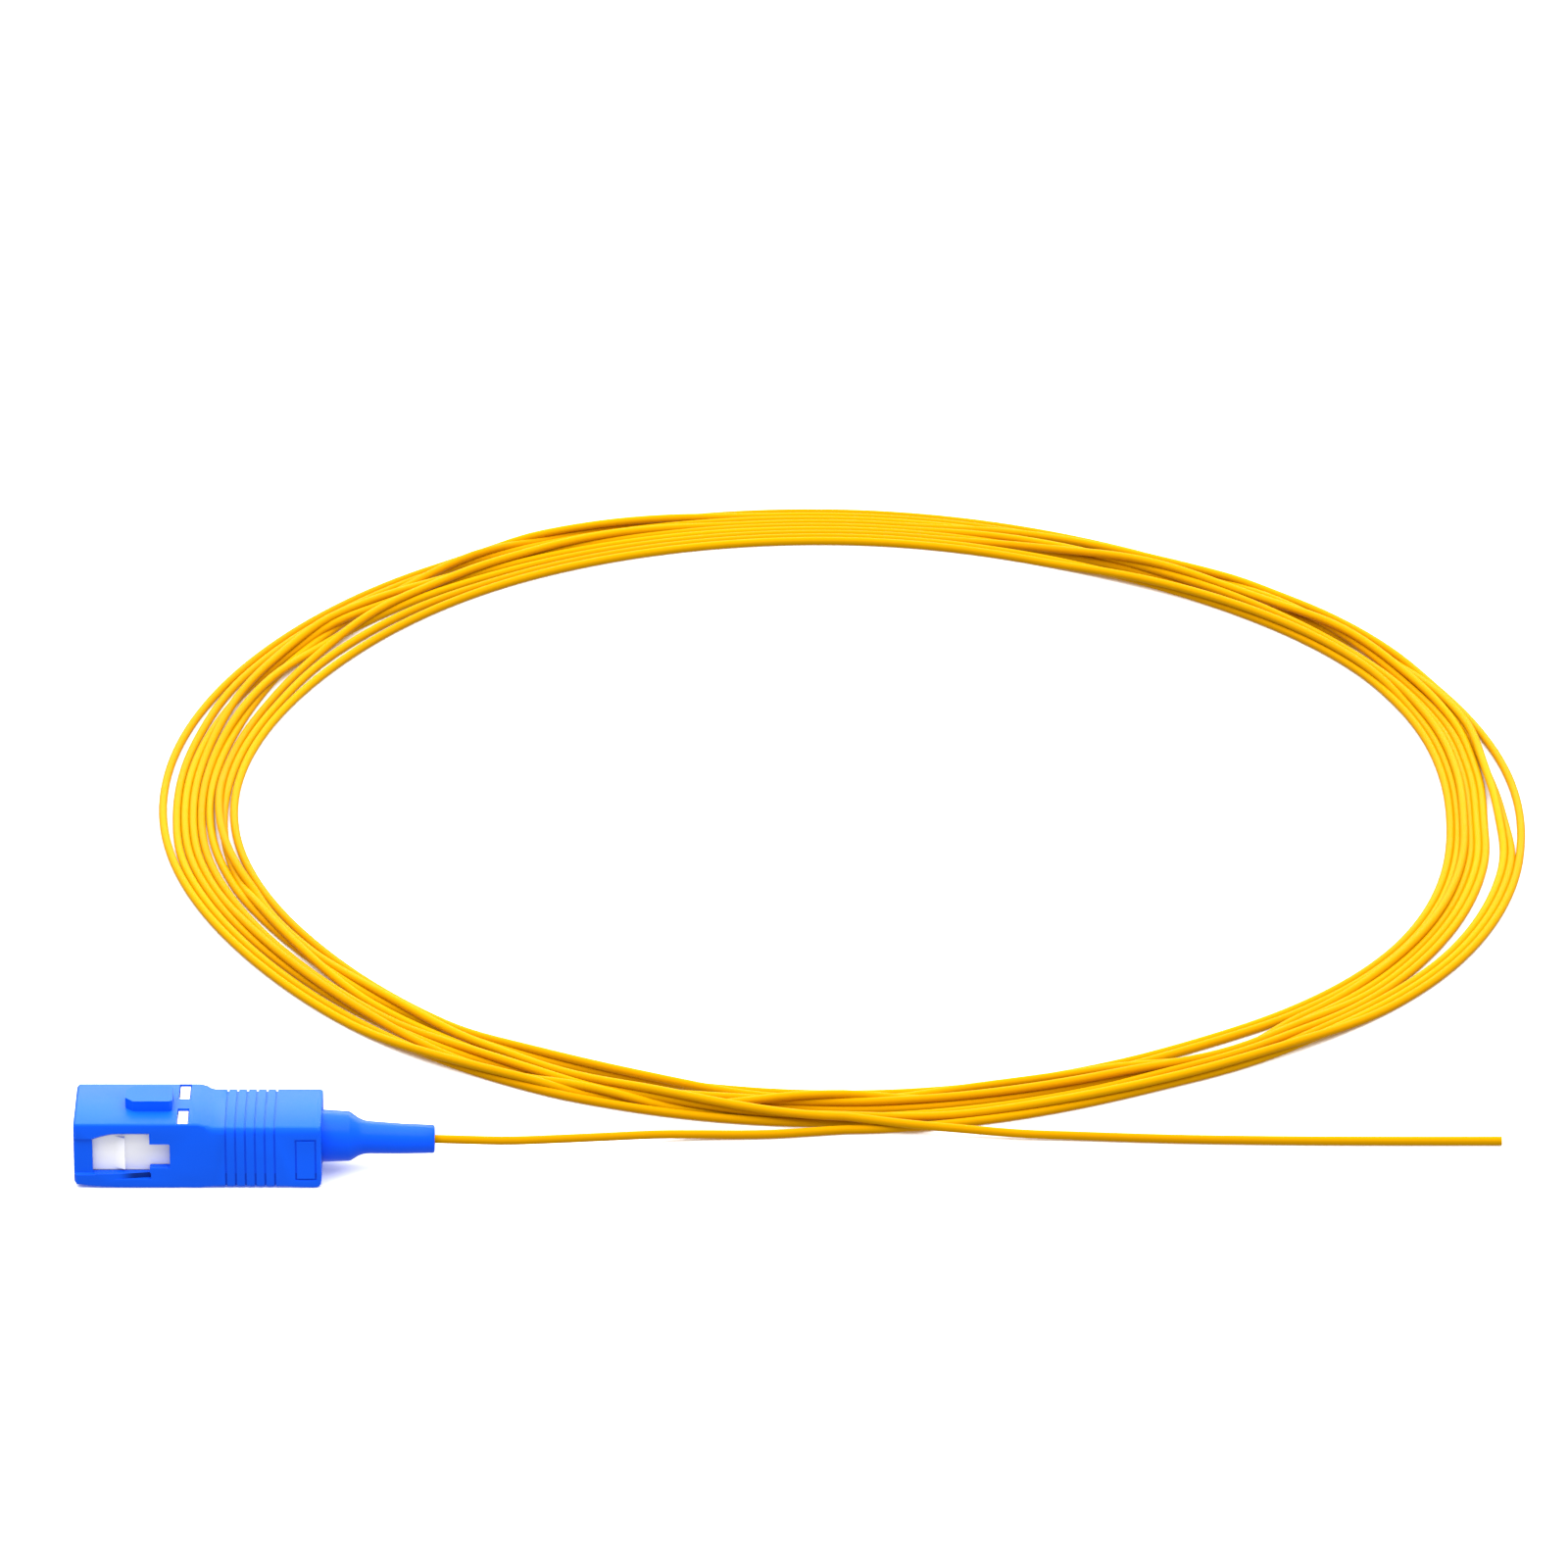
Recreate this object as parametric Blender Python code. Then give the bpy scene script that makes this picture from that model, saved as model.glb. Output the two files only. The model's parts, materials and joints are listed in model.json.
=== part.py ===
"""Fibre optic pigtail: a push-pull simplex connector with a short boot, on a loose coil of buffered fibre.

Run with: blender --background --python part.py
Metres, +Z up. X runs from the mating end to the fibre, Y across the connector, and the key is on top.
The origin is at the middle of the connector's underside, on the surface that it lies on.
"""

import math

import bmesh
import bpy
import numpy as np
from mathutils import Vector

MM = 0.001

# Whole connector, along X from the mating end to the boot's tip
CONNECTOR_LENGTH = 36.7 * MM
HOUSING_LENGTH = 25.2 * MM
HOUSING_WIDTH = 9.0 * MM
HOUSING_HEIGHT = 7.4 * MM

# Mating end: its underside lifts towards the mouth
MOUTH_ROUNDING = 0.25 * MM
MOUTH_LIFT = 0.38 * MM
MOUTH_LIFT_LENGTH = 5.0 * MM

# The grip half of the housing, lower than the front on top, and raised underneath ahead of a rear foot
GRIP_START = 12.7 * MM
GRIP_RAMP = 1.5 * MM
GRIP_DROP = 0.45 * MM
GRIP_RISE = 0.14 * MM
GRIP_CHAMFER_START = 13.4 * MM
GRIP_CHAMFER_RUN = 0.3 * MM
GRIP_CHAMFER_ACROSS = 0.6 * MM
GRIP_CHAMFER_DOWN = 0.7 * MM
GROOVE_COUNT = 6
GROOVE_FIRST = 15.39 * MM
GROOVE_PITCH = 1.0 * MM
GROOVE_WIDTH = 0.22 * MM
GROOVE_DEPTH = 0.15 * MM
GROOVE_DEPTH_BELOW = 0.04 * MM
FOOT_START = 21.6 * MM
FOOT_RAMP = 1.8 * MM
REAR_ROUNDING = 0.6 * MM
REAR_SOFTENING = 0.12 * MM
EDGE_ROUNDING = 0.3 * MM

# Key on top, with its nose cut to a taper in plan
KEY_START = 5.2 * MM
KEY_END = 10.0 * MM
KEY_WIDTH = 3.3 * MM
KEY_HEIGHT = 1.15 * MM
KEY_NOSE = 0.8 * MM
KEY_TAIL = 0.25 * MM

# Bare panel on the grip's side, edged with an engraved line
PANEL_START = 22.55 * MM
PANEL_END = 24.75 * MM
PANEL_BOTTOM = 0.92 * MM
PANEL_TOP = 5.6 * MM
PANEL_LINE = 0.2 * MM
PANEL_DEPTH = 0.16 * MM

# Housing's inside, stepped down behind the plug frame's shoulder
CAVITY_WIDTH = 7.1 * MM
CAVITY_HEIGHT = 6.0 * MM
CAVITY_STEP = 13.5 * MM
GRIP_CAVITY_WIDTH = 6.6 * MM
GRIP_CAVITY_HEIGHT = 5.1 * MM
REAR_WALL = 19.3 * MM

# Latch window in each side, its top and bottom above and below the axis, and its upper edge sloped
WINDOW_START = 1.9 * MM
WINDOW_END = 7.75 * MM
WINDOW_TOP = 2.65 * MM
WINDOW_BOTTOM = -2.05 * MM
WINDOW_FRONT_TOP = 2.05 * MM
WINDOW_CURVE = 2.6 * MM
WINDOW_SLOPE = 0.6 * MM
WINDOW_SLOT_END = 9.8 * MM
WINDOW_SLOT_HEIGHT = 2.75 * MM

# Shallow channel in front of the window, and the ramp sunk into the wall below it
CHANNEL_DEPTH = 0.3 * MM
CHANNEL_TOP = 2.0 * MM
CHANNEL_BOTTOM = -2.15 * MM
CHANNEL_SLOPE = 0.15 * MM
RAMP_START = 3.2 * MM
RAMP_END = 7.85 * MM
RAMP_DEPTH = 0.5 * MM
RAMP_BOTTOM = -2.65 * MM
RAMP_OVERLAP = 0.1 * MM

# Clearances
SLIDE_GAP = 0.1 * MM
SEAT_GAP = 0.3 * MM
LUG_GAP = 0.05 * MM
GRIP_TRAVEL = 1.3 * MM

# Plug frame
FRAME_RECESS = 1.0 * MM
FRAME_EDGE = 0.65 * MM
WEDGE_START = 4.1 * MM
WEDGE_END = 5.2 * MM
WEDGE_RISE = 0.5 * MM
WEDGE_CLEARANCE = 0.25 * MM
MOUTH_BORE = 4.9 * MM
SEPTUM_START = 7.2 * MM
SEPTUM_THICKNESS = 0.7 * MM
SEPTUM_BORE = 3.2 * MM
BARREL_BORE = 4.1 * MM

# Lugs of the plug frame, seen in the slots in the housing's top and underside
SLOT_START = 10.55 * MM
SLOT_LENGTH = 1.2 * MM
SLOT_INNER = 1.05 * MM
SLOT_SIDE_WALL = 0.2 * MM
SLOT_SKIN = 0.2 * MM

# Ferrule and its metal flange
FERRULE_TIP = 0.5 * MM
FERRULE_LENGTH = 10.5 * MM
FERRULE_DIAMETER = 2.5 * MM
FERRULE_NOSE = 0.35 * MM
FLANGE_GRIP = 2.8 * MM
FLANGE_COLLAR = 3.6 * MM
FLANGE_TAIL = 3.8 * MM
FLANGE_TAIL_DIAMETER = 2.0 * MM
FLANGE_NOTCH = 0.4 * MM
PRESS_GAP = 0.05 * MM

# Spring behind the flange
SPRING_WIRE = 0.36 * MM
SPRING_DIAMETER = 3.0 * MM
SPRING_TURNS = 4.5
SPRING_LENGTH = 3.9 * MM
SPRING_SEAT = 0.2 * MM

# Stop ring: it snaps into the frame, and its barrel carries the boot
STOP_FLANGE_THICKNESS = 1.0 * MM
STOP_FLANGE_DIAMETER = 4.8 * MM
STOP_BARREL = 5.8 * MM
STOP_BARREL_DIAMETER = 3.7 * MM
STOP_BORE = 2.8 * MM
SNAP_LENGTH = 1.0 * MM
SNAP_HEIGHT = 1.4 * MM
SNAP_REACH = 3.0 * MM
SNAP_GAP = 0.15 * MM

# Boot
BOOT_COLLAR_DIAMETER = 5.4 * MM
BOOT_COLLAR_TAPER = 0.25 * MM
BOOT_COLLAR_END = 27.9 * MM
BOOT_CONE = 2.0 * MM
BOOT_NECK_DIAMETER = 3.35 * MM
BOOT_TIP_DIAMETER = 2.5 * MM
BOOT_BORE = 1.4 * MM
BOOT_BARREL_GAP = 0.1 * MM
COLLAR_GAP = 0.2 * MM

# Fibre and its coil
FIBRE_DIAMETER = 0.9 * MM
COIL_CENTRE_X = 60.3 * MM
COIL_OUTER_RADIUS = 74.3 * MM
COIL_WIDTH = 9.2 * MM
COIL_HEIGHT = 2.2 * MM
COIL_TURNS = 9
COIL_FRONT_Y = 5.4 * MM

# Routes of the fibre's ends, from the boot to the coil and from the coil to the free end, in mm
LEAD_ROUTE_MM = (
    (16.0, 0.0, 3.7),
    (18.5, 0.0, 3.7),
    (22.0, 0.2, 3.45),
    (26.0, 0.8, 2.95),
    (31.0, 2.2, 2.3),
    (36.0, 3.9, 1.55),
    (41.0, 5.4, 0.95),
    (44.8, 6.1, 0.6),
)
TAIL_ROUTE_MM = (
    (76.8, 6.35, 0.46),
    (84.0, 6.0, 0.46),
    (94.0, 5.4, 0.46),
    (105.0, 5.05, 0.46),
    (116.0, 4.95, 0.46),
    (127.8, 4.95, 0.46),
)

# Fineness of round pieces
ROUND_SIDES = 32
COIL_SIDES = 60
WIRE_SIDES = 6
TUBE_STEP = 2.5 * MM

AXIS_Z = HOUSING_HEIGHT / 2
FRONT_X = -CONNECTOR_LENGTH / 2


def clear_scene():
    """Removes what the startup file holds."""
    for item in list(bpy.data.objects):
        bpy.data.objects.remove(item, do_unlink=True)


def material(name, colour, roughness, metallic=0.0):
    """Principled material of one colour."""
    made = bpy.data.materials.new(name)
    made.use_nodes = True
    shader = made.node_tree.nodes["Principled BSDF"]
    shader.inputs["Base Color"].default_value = (*colour, 1.0)
    shader.inputs["Roughness"].default_value = roughness
    shader.inputs["Metallic"].default_value = metallic
    return made


def add_object(name, mesh, finish=None, parent=None, smooth_below=None):
    """Links an object that holds the mesh."""
    made = bpy.data.objects.new(name, mesh)
    bpy.context.scene.collection.objects.link(made)
    if finish:
        mesh.materials.append(finish)
    if parent:
        made.parent = parent
    if smooth_below:
        mesh.shade_smooth()
        mesh.set_sharp_from_angle(angle=math.radians(smooth_below))
    return made


def mesh_from(name, points, faces):
    """Closed mesh whose faces all point outwards."""
    mesh = bpy.data.meshes.new(name)
    mesh.from_pydata([tuple(p) for p in points], [], faces)
    shape = bmesh.new()
    shape.from_mesh(mesh)
    bmesh.ops.recalc_face_normals(shape, faces=shape.faces)
    shape.to_mesh(mesh)
    shape.free()
    return mesh


def loft(name, rings, closed=False):
    """Skin through rings of like points, in order: capped at both ends, or joined last to first."""
    count = len(rings[0])
    points = [p for ring in rings for p in ring]
    faces = []
    spans = len(rings) if closed else len(rings) - 1
    for i in range(spans):
        a, b = i * count, (i + 1) % len(rings) * count
        for j in range(count):
            k = (j + 1) % count
            faces.append((a + j, a + k, b + k, b + j))
    if not closed:
        faces.append(tuple(range(count)))
        faces.append(tuple(range(len(points) - count, len(points))))
    return mesh_from(name, points, faces)


def section(x, half_width, low, high, top_cut, bottom_cut, steps=3):
    """Rectangle across X with its corners rounded by quarter ellipses, cut as (across, down)."""
    corners = (
        (1, 1, top_cut, 0),
        (-1, 1, top_cut, 1),
        (-1, -1, bottom_cut, 2),
        (1, -1, bottom_cut, 3),
    )
    ring = []
    for side_y, side_z, (across, down), quarter in corners:
        centre_y = side_y * (half_width - across)
        centre_z = high - down if side_z > 0 else low + down
        for i in range(steps + 1):
            angle = math.radians(90 * (quarter + i / steps))
            ring.append((x, centre_y + across * math.cos(angle), centre_z + down * math.sin(angle)))
    return ring


def prism(name, outline, low, high, axis):
    """Outline pushed along an axis: along "y" it is read as (x, z), and along "z" as (x, y)."""
    if axis == "y":
        rings = [[(x, level, z) for x, z in outline] for level in (low, high)]
    else:
        rings = [[(x, y, level) for x, y in outline] for level in (low, high)]
    return loft(name, rings)


def box(name, x0, x1, y0, y1, z0, z1):
    """Plain box between two corners."""
    return prism(name, [(x0, y0), (x1, y0), (x1, y1), (x0, y1)], z0, z1, "z")


def turned_rings(profile):
    """Circles about the connector's axis, one for each (distance from the front, radius)."""
    angles = [2 * math.pi * (i + 0.5) / ROUND_SIDES for i in range(ROUND_SIDES)]
    return [
        [(FRONT_X + along, radius * math.cos(a), AXIS_Z + radius * math.sin(a)) for a in angles]
        for along, radius in profile
    ]


def turned_solid(name, profile):
    """Turned solid with no bore, capped at both ends."""
    return loft(name, turned_rings(profile))


def turned_tube(name, profile):
    """Turned solid with a bore: the profile runs along the outside, then back along the bore."""
    return loft(name, turned_rings(profile), closed=True)


def combine(target, mesh, operation):
    """Boolean of the target with a hidden helper that holds the mesh."""
    helper = add_object(f"{target.name}_{operation.lower()}_{len(target.modifiers)}", mesh)
    helper.hide_render = True
    helper.display_type = "WIRE"
    step = target.modifiers.new(f"{operation.title()} {len(target.modifiers)}", "BOOLEAN")
    step.operation = operation
    step.solver = "EXACT"
    step.object = helper


def cut(target, mesh):
    """Takes the mesh away from the target."""
    combine(target, mesh, "DIFFERENCE")


def join(target, mesh):
    """Adds the mesh to the target."""
    combine(target, mesh, "UNION")


def housing_blank():
    """Outside of the housing: a wide front, a ramp, and a lower grip with grooves and chamfers."""
    half = HOUSING_WIDTH / 2
    low_cut = (EDGE_ROUNDING, EDGE_ROUNDING)
    grip_cut = (GRIP_CHAMFER_ACROSS, GRIP_CHAMFER_DOWN)
    grip_top = HOUSING_HEIGHT - GRIP_DROP
    stations = [(0.0, MOUTH_ROUNDING, MOUTH_ROUNDING + MOUTH_LIFT, HOUSING_HEIGHT, low_cut)]
    for share in (0.0, 0.25, 0.55, 1.0):
        along = MOUTH_ROUNDING + (MOUTH_LIFT_LENGTH - MOUTH_ROUNDING) * share
        stations.append((along, 0.0, MOUTH_LIFT * (1 - share) ** 2, HOUSING_HEIGHT, low_cut))
    for along, corner in (
        (GRIP_START, low_cut),
        (GRIP_CHAMFER_START, low_cut),
        (GRIP_CHAMFER_START + GRIP_CHAMFER_RUN, grip_cut),
        (GRIP_START + GRIP_RAMP, grip_cut),
    ):
        share = (along - GRIP_START) / GRIP_RAMP
        stations.append((along, 0.0, GRIP_RISE * share, HOUSING_HEIGHT - GRIP_DROP * share, corner))
    for i in range(GROOVE_COUNT):
        start = GROOVE_FIRST + i * GROOVE_PITCH
        for along, share in ((0, 0), (0, 1), (GROOVE_WIDTH, 1), (GROOVE_WIDTH, 0)):
            low = GRIP_RISE + GROOVE_DEPTH_BELOW * share
            stations.append((start + along, GROOVE_DEPTH * share, low, grip_top, grip_cut))
    stations.append((FOOT_START, 0.0, GRIP_RISE, grip_top, grip_cut))
    stations.append((FOOT_START + FOOT_RAMP, 0.0, 0.0, grip_top, grip_cut))
    for share, rise in ((1.0, 0.0), (0.5, 0.13), (0.13, 0.5), (0.0, 1.0)):
        along = HOUSING_LENGTH - REAR_ROUNDING * share
        stations.append((along, REAR_SOFTENING * rise, REAR_ROUNDING * rise, grip_top, grip_cut))
    rings = [
        section(FRONT_X + along, half - inset, low, top - inset, top_cut, low_cut)
        for along, inset, low, top, top_cut in stations
    ]
    return loft("outer_housing", rings)


def key_blank():
    """Key on top: its nose is cut to a taper in plan, and its foot reaches into the top wall."""
    x0, x1 = FRONT_X + KEY_START, FRONT_X + KEY_END
    half = KEY_WIDTH / 2
    outline = [
        (x0, -half + KEY_NOSE),
        (x0 + KEY_NOSE, -half),
        (x1 - KEY_TAIL, -half),
        (x1, -half + KEY_TAIL),
        (x1, half - KEY_TAIL),
        (x1 - KEY_TAIL, half),
        (x0 + KEY_NOSE, half),
        (x0, half - KEY_NOSE),
    ]
    foot = HOUSING_HEIGHT - SLOT_SKIN / 2
    return prism("key", outline, foot, HOUSING_HEIGHT + KEY_HEIGHT, "z")


def window_outline(slope):
    """Window seen from the side: its upper edge drops towards the front, and a narrow slot lies behind."""
    x0, x1, x2 = (FRONT_X + u for u in (WINDOW_START, WINDOW_END, WINDOW_SLOT_END))
    front, rear = WINDOW_FRONT_TOP - slope, WINDOW_TOP - slope
    steps = 5
    upper = []
    for i in range(steps + 1):
        share = i / steps
        upper.append((x0 + WINDOW_CURVE * share, front + (rear - front) * math.sin(share * math.pi / 2)))
    upper.append((x1, rear))
    upper.append((x1, WINDOW_SLOT_HEIGHT / 2))
    upper.append((x2, WINDOW_SLOT_HEIGHT / 2))
    slot = -WINDOW_SLOT_HEIGHT / 2
    lower = [(x2, slot), (x1, slot), (x1, WINDOW_BOTTOM), (x0, WINDOW_BOTTOM)]
    return [(x, AXIS_Z + half) for x, half in upper + lower]


def window_blank(reach):
    """Cutter for both windows, from side to side: its upper edge slopes in from the housing's faces."""
    half, inner = HOUSING_WIDTH / 2, CAVITY_WIDTH / 2
    wide, narrow = window_outline(0.0), window_outline(WINDOW_SLOPE)
    levels = ((-reach, wide), (-half, wide), (-inner, narrow), (inner, narrow), (half, wide), (reach, wide))
    return loft("window", [[(x, level, z) for x, z in outline] for level, outline in levels])


def channel_blank(side, reach):
    """Cutter for the channel that leads into one window, with sloped long edges."""
    face = side * HOUSING_WIDTH / 2
    deep = side * (HOUSING_WIDTH / 2 - CHANNEL_DEPTH)
    upper = [(side * reach, CHANNEL_TOP), (face, CHANNEL_TOP), (deep, CHANNEL_TOP - CHANNEL_SLOPE)]
    lower = [(deep, CHANNEL_BOTTOM + CHANNEL_SLOPE), (face, CHANNEL_BOTTOM), (side * reach, CHANNEL_BOTTOM)]
    ends = (-MOUTH_ROUNDING, WINDOW_START + CHANNEL_DEPTH)
    return loft("channel", [[(FRONT_X + end, y, AXIS_Z + z) for y, z in upper + lower] for end in ends])


def ramp_blank(side, reach):
    """Cutter for the ramp below one window: it sinks from the housing's face towards the rear."""
    half = HOUSING_WIDTH / 2
    x0, x1 = FRONT_X + RAMP_START, FRONT_X + RAMP_END
    outline = [
        (x0, side * (half + RAMP_OVERLAP)),
        (x1, side * (half - RAMP_DEPTH)),
        (x1, side * reach),
        (x0, side * reach),
    ]
    top = AXIS_Z + WINDOW_BOTTOM + RAMP_OVERLAP
    return prism("ramp", outline, AXIS_Z + RAMP_BOTTOM, top, "z")


def panel_line():
    """Cutter for the line engraved round the bare panel: a square groove with mitred corners."""
    face = -HOUSING_WIDTH / 2
    middle_x = FRONT_X + (PANEL_START + PANEL_END) / 2
    middle_z = (PANEL_BOTTOM + PANEL_TOP) / 2
    half_x, half_z = (PANEL_END - PANEL_START) / 2, (PANEL_TOP - PANEL_BOTTOM) / 2
    rings = []
    for side_x, side_z in ((-1, -1), (1, -1), (1, 1), (-1, 1)):
        ring = []
        for inset, y in ((0, -1), (PANEL_LINE, -1), (PANEL_LINE, 1), (0, 1)):
            x = middle_x + side_x * (half_x - inset)
            z = middle_z + side_z * (half_z - inset)
            ring.append((x, face + y * PANEL_DEPTH, z))
        rings.append(ring)
    return loft("panel", rings, closed=True)


def lug_heights(side):
    """Level of the plug frame's face and of its lug's end, above or below the axis."""
    frame_face = (CAVITY_HEIGHT - 2 * SLIDE_GAP) / 2
    lug_end = HOUSING_HEIGHT / 2 - SLOT_SKIN - LUG_GAP
    return AXIS_Z + side * frame_face, AXIS_Z + side * lug_end


def add_outer_housing(finish, parent):
    """Grip sleeve that slides on the plug frame."""
    made = add_object("outer_housing", housing_blank(), finish, parent)
    join(made, key_blank())
    half = HOUSING_WIDTH / 2
    past = 1 * MM
    x_step = FRONT_X + CAVITY_STEP
    for x0, x1, width, height in (
        (FRONT_X - past, x_step, CAVITY_WIDTH, CAVITY_HEIGHT),
        (x_step - past, FRONT_X + REAR_WALL, GRIP_CAVITY_WIDTH, GRIP_CAVITY_HEIGHT),
    ):
        cut(made, box("cavity", x0, x1, -width / 2, width / 2, AXIS_Z - height / 2, AXIS_Z + height / 2))
    bore = BOOT_COLLAR_DIAMETER / 2 + COLLAR_GAP
    cut(made, turned_solid("rear_bore", ((REAR_WALL - past, bore), (HOUSING_LENGTH + past, bore))))
    cut(made, window_blank(half + past))
    for side in (-1, 1):
        cut(made, channel_blank(side, half + past))
        cut(made, ramp_blank(side, half + past))
    slot_x0 = FRONT_X + SLOT_START
    slot_x1 = slot_x0 + SLOT_LENGTH
    pocket_x0 = slot_x0 - GRIP_TRAVEL - SLIDE_GAP
    pocket_x1 = slot_x1 + SLIDE_GAP
    pocket = HOUSING_HEIGHT / 2 - SLOT_SKIN
    inner_wall = CAVITY_HEIGHT / 2 - SLIDE_GAP / 2
    outside = HOUSING_HEIGHT / 2 + past
    for side_y in (-1, 1):
        y0, y1 = sorted((side_y * SLOT_INNER, side_y * (half - SLOT_SIDE_WALL)))
        for side_z in (-1, 1):
            z0, z1 = sorted((AXIS_Z + side_z * inner_wall, AXIS_Z + side_z * pocket))
            cut(made, box("pocket", pocket_x0, pocket_x1, y0, y1, z0, z1))
            z0, z1 = sorted((AXIS_Z + side_z * (pocket - SLIDE_GAP), AXIS_Z + side_z * outside))
            cut(made, box("slot", slot_x0, slot_x1, y0, y1, z0, z1))
    cut(made, panel_line())
    return made


def frame_blank():
    """Plug frame's outside: a wide front block, and a lower rear block behind the shoulder."""
    half = CAVITY_WIDTH / 2 - SLIDE_GAP
    front = CAVITY_HEIGHT / 2 - SLIDE_GAP
    rear_half = GRIP_CAVITY_WIDTH / 2 - SLIDE_GAP
    rear = GRIP_CAVITY_HEIGHT / 2 - SLIDE_GAP
    cut_at = (FRAME_EDGE, FRAME_EDGE)
    shoulder = CAVITY_STEP - SEAT_GAP
    end = REAR_WALL - SEAT_GAP
    lead_in = MOUTH_ROUNDING
    stations = (
        (FRAME_RECESS, half - lead_in, front - lead_in),
        (FRAME_RECESS + lead_in, half, front),
        (shoulder, half, front),
        (shoulder, rear_half, rear),
        (end, rear_half, rear),
    )
    rings = [
        section(FRONT_X + along, wide, AXIS_Z - tall, AXIS_Z + tall, cut_at, cut_at, steps=1)
        for along, wide, tall in stations
    ]
    return loft("plug_frame", rings)


def add_plug_frame(finish, parent):
    """Inner frame: latch wedges on its sides, lugs top and bottom, and a stepped bore."""
    made = add_object("plug_frame", frame_blank(), finish, parent)
    half = CAVITY_WIDTH / 2 - SLIDE_GAP
    tall = -WINDOW_BOTTOM - WEDGE_CLEARANCE
    for side in (-1, 1):
        wedge = [
            (FRONT_X + WEDGE_START, side * half),
            (FRONT_X + WEDGE_END, side * (half + WEDGE_RISE)),
            (FRONT_X + WEDGE_END, side * (half - WEDGE_RISE)),
            (FRONT_X + WEDGE_START, side * (half - WEDGE_RISE)),
        ]
        join(made, prism("wedge", wedge, AXIS_Z - tall, AXIS_Z + tall, "z"))
    x0 = FRONT_X + SLOT_START + SLIDE_GAP
    x1 = FRONT_X + SLOT_START + SLOT_LENGTH - SLIDE_GAP
    inner = SLOT_INNER + SLIDE_GAP
    outer = HOUSING_WIDTH / 2 - SLOT_SIDE_WALL - SLIDE_GAP
    for side_z in (-1, 1):
        face, end = lug_heights(side_z)
        ledge = face + side_z * 1.5 * SLIDE_GAP
        root = face - side_z * WEDGE_RISE
        for side_y in (-1, 1):
            y0, y1 = sorted((side_y * inner, side_y * (half - FRAME_EDGE)))
            z0, z1 = sorted((root, end))
            join(made, box("lug_root", x0, x1, y0, y1, z0, z1))
            y0, y1 = sorted((side_y * inner, side_y * outer))
            z0, z1 = sorted((ledge, end))
            join(made, box("lug", x0, x1, y0, y1, z0, z1))
    past = 1 * MM
    septum_end = SEPTUM_START + SEPTUM_THICKNESS
    bores = (
        (FRAME_RECESS - past, SEPTUM_START, MOUTH_BORE),
        (SEPTUM_START - past, septum_end + past, SEPTUM_BORE),
        (septum_end, REAR_WALL + past, BARREL_BORE),
    )
    for start, stop, bore in bores:
        cut(made, turned_solid("bore", ((start, bore / 2), (stop, bore / 2))))
    x0 = FRONT_X + snap_start() - SNAP_GAP
    x1 = FRONT_X + snap_start() + SNAP_LENGTH + SNAP_GAP
    tall = SNAP_HEIGHT / 2 + SNAP_GAP
    cut(made, box("snap_window", x0, x1, -half - past, half + past, AXIS_Z - tall, AXIS_Z + tall))
    return made


def flange_start():
    """Distance of the flange's front face from the mating end: it seats behind the septum."""
    return SEPTUM_START + SEPTUM_THICKNESS + SEAT_GAP


def spring_start():
    """Distance of the spring's first coil from the mating end."""
    return flange_start() + FLANGE_COLLAR + SPRING_SEAT


def stop_start():
    """Distance of the stop ring's front face from the mating end: the spring ends on it."""
    return spring_start() + SPRING_LENGTH + SPRING_SEAT


def stop_flange_start():
    """Distance of the stop ring's flange from the mating end: it closes on the frame's rear end."""
    return REAR_WALL - SEAT_GAP / 2


def snap_start():
    """Distance of the snap lugs from the mating end: they sit in the middle of the neck."""
    return (stop_start() + stop_flange_start() - SNAP_LENGTH) / 2


def add_ferrule(finish, parent):
    """Ceramic ferrule with a chamfered nose."""
    radius = FERRULE_DIAMETER / 2
    end = FERRULE_TIP + FERRULE_LENGTH
    profile = (
        (FERRULE_TIP, radius - FERRULE_NOSE),
        (FERRULE_TIP + FERRULE_NOSE, radius - FERRULE_NOSE / 3),
        (FERRULE_TIP + 2 * FERRULE_NOSE, radius),
        (end, radius),
    )
    return add_object("ferrule", turned_solid("ferrule", profile), finish, parent, 30)


def add_ferrule_flange(finish, parent):
    """Metal flange that grips the ferrule's end: a notched collar and a thin tail."""
    start = flange_start()
    collar_end = start + FLANGE_COLLAR
    tail_end = collar_end + FLANGE_TAIL
    ferrule_end = FERRULE_TIP + FERRULE_LENGTH
    collar = BARREL_BORE / 2 - SLIDE_GAP
    grip = FERRULE_DIAMETER / 2 + PRESS_GAP
    tail = FLANGE_TAIL_DIAMETER / 2
    fibre = FIBRE_DIAMETER / 2 + SLIDE_GAP
    profile = (
        (start, collar - FLANGE_NOTCH / 2),
        (start + FLANGE_NOTCH / 2, collar),
        (collar_end, collar),
        (collar_end, tail),
        (tail_end, tail),
        (tail_end, fibre),
        (ferrule_end + PRESS_GAP, fibre),
        (ferrule_end + PRESS_GAP, grip),
        (start, grip),
    )
    made = add_object("ferrule_flange", turned_tube("ferrule_flange", profile), finish, parent, 30)
    past = 1 * MM
    x0, x1 = FRONT_X + start - past, FRONT_X + start + FLANGE_GRIP / 2
    for side in (-1, 1):
        z0, z1 = sorted((AXIS_Z + side * (collar - FLANGE_NOTCH), AXIS_Z + side * (collar + past)))
        cut(made, box("notch", x0, x1, -FLANGE_NOTCH, FLANGE_NOTCH, z0, z1))
    return made


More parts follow.
